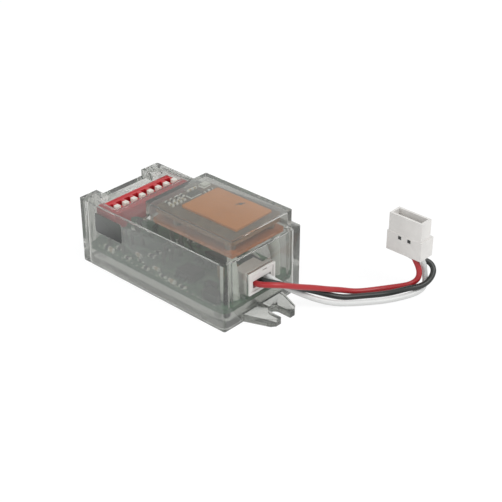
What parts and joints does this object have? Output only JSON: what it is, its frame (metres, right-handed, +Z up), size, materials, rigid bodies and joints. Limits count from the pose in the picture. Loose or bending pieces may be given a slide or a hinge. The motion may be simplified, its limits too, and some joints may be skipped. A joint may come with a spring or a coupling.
{
  "type": "microwave motion sensor",
  "caption": "Microwave motion sensor in a clear smoky case with a domed patch antenna, a red DIP switch, mounting ears and a three-wire lead with an inline connector",
  "frame": {"origin": "centre of the object's box in plan, on the surface it rests on", "axes": "+X along the case towards the end the lead leaves, +Y to the back, +Z up"},
  "size_m": [0.075, 0.0452, 0.0204],
  "materials": {
    "clear_case": "clear smoky moulded plastic, polished",
    "name_plate_black": "dark glossy plate, bare",
    "board_green": "green solder mask, satin",
    "radio_board_brown": "dull laminate board",
    "ground_board_copper": "laminate with a bare copper edge",
    "copper_foil": "satin tarnish-free copper",
    "switch_red": "moulded red plastic",
    "slider_white": "moulded white plastic",
    "connector_white": "moulded off-white nylon",
    "nylon_white": "translucent white nylon",
    "tinned_metal": "bright tin plate",
    "chip_black": "moulded black epoxy",
    "ceramic_tan": "fired ceramic",
    "resistor_black": "glazed ceramic",
    "can_silver": "pressed metal can",
    "tantalum_ochre": "moulded ochre epoxy",
    "light_lens": "clear pale resin",
    "wire_red_jacket": "soft extruded jacket",
    "wire_black_jacket": "soft extruded jacket",
    "wire_white_jacket": "soft extruded jacket"
  },
  "bodies": {
    "sensor": {"housing_shell": "clear_case", "base_plate": "clear_case", "name_plate": "name_plate_black", "main_board": "board_green", "switch_body": "switch_red", "switch_solder_pins": "tinned_metal", "switch_riser_board": "board_green", "riser_pins": "tinned_metal", "ground_board": "ground_board_copper", "radio_board": "radio_board_brown", "antenna_patch": "copper_foil", "patch_feed_pin": "tinned_metal", "stack_spacers": "nylon_white", "antenna_posts": "nylon_white", "link_pins": "tinned_metal", "radio_chip": "chip_black", "radio_crystal": "can_silver", "radio_resistors": "resistor_black", "radio_capacitors": "ceramic_tan", "header_shroud": "connector_white", "header_pins": "tinned_metal", "microcontroller": "chip_black", "signal_amplifier": "chip_black", "voltage_regulator": "chip_black", "bulk_capacitor": "tantalum_ochre", "output_transistor": "chip_black", "protection_diode": "chip_black", "status_light": "light_lens", "chip_resistors": "resistor_black", "chip_capacitors": "ceramic_tan"},
    "harness": {"plug_housing": "connector_white", "plug_contacts": "tinned_metal", "wire_red": "wire_red_jacket", "wire_black": "wire_black_jacket", "wire_white": "wire_white_jacket", "inline_connector": "connector_white", "inline_contacts": "tinned_metal"},
    "slider_1": {"switch_slider_1": "slider_white"},
    "slider_2": {"switch_slider_2": "slider_white"},
    "slider_3": {"switch_slider_3": "slider_white"},
    "slider_4": {"switch_slider_4": "slider_white"},
    "slider_5": {"switch_slider_5": "slider_white"},
    "slider_6": {"switch_slider_6": "slider_white"},
    "slider_7": {"switch_slider_7": "slider_white"},
    "slider_8": {"switch_slider_8": "slider_white"}
  },
  "joints": [
    {"name": "harness_plug", "type": "slide", "parent": "sensor", "child": "harness", "axis": [1, 0, 0], "range_m": [0, 0.006]},
    {"name": "slider_1_slide", "type": "slide", "parent": "sensor", "child": "slider_1", "axis": [-1, 0, 0], "range_m": [0, 0.002]},
    {"name": "slider_2_slide", "type": "slide", "parent": "sensor", "child": "slider_2", "axis": [-1, 0, 0], "range_m": [0, 0.002]},
    {"name": "slider_3_slide", "type": "slide", "parent": "sensor", "child": "slider_3", "axis": [-1, 0, 0], "range_m": [0, 0.002]},
    {"name": "slider_4_slide", "type": "slide", "parent": "sensor", "child": "slider_4", "axis": [-1, 0, 0], "range_m": [0, 0.002]},
    {"name": "slider_5_slide", "type": "slide", "parent": "sensor", "child": "slider_5", "axis": [-1, 0, 0], "range_m": [0, 0.002]},
    {"name": "slider_6_slide", "type": "slide", "parent": "sensor", "child": "slider_6", "axis": [-1, 0, 0], "range_m": [0, 0.002]},
    {"name": "slider_7_slide", "type": "slide", "parent": "sensor", "child": "slider_7", "axis": [-1, 0, 0], "range_m": [0, 0.002]},
    {"name": "slider_8_slide", "type": "slide", "parent": "sensor", "child": "slider_8", "axis": [-1, 0, 0], "range_m": [0, 0.002]}
  ]
}
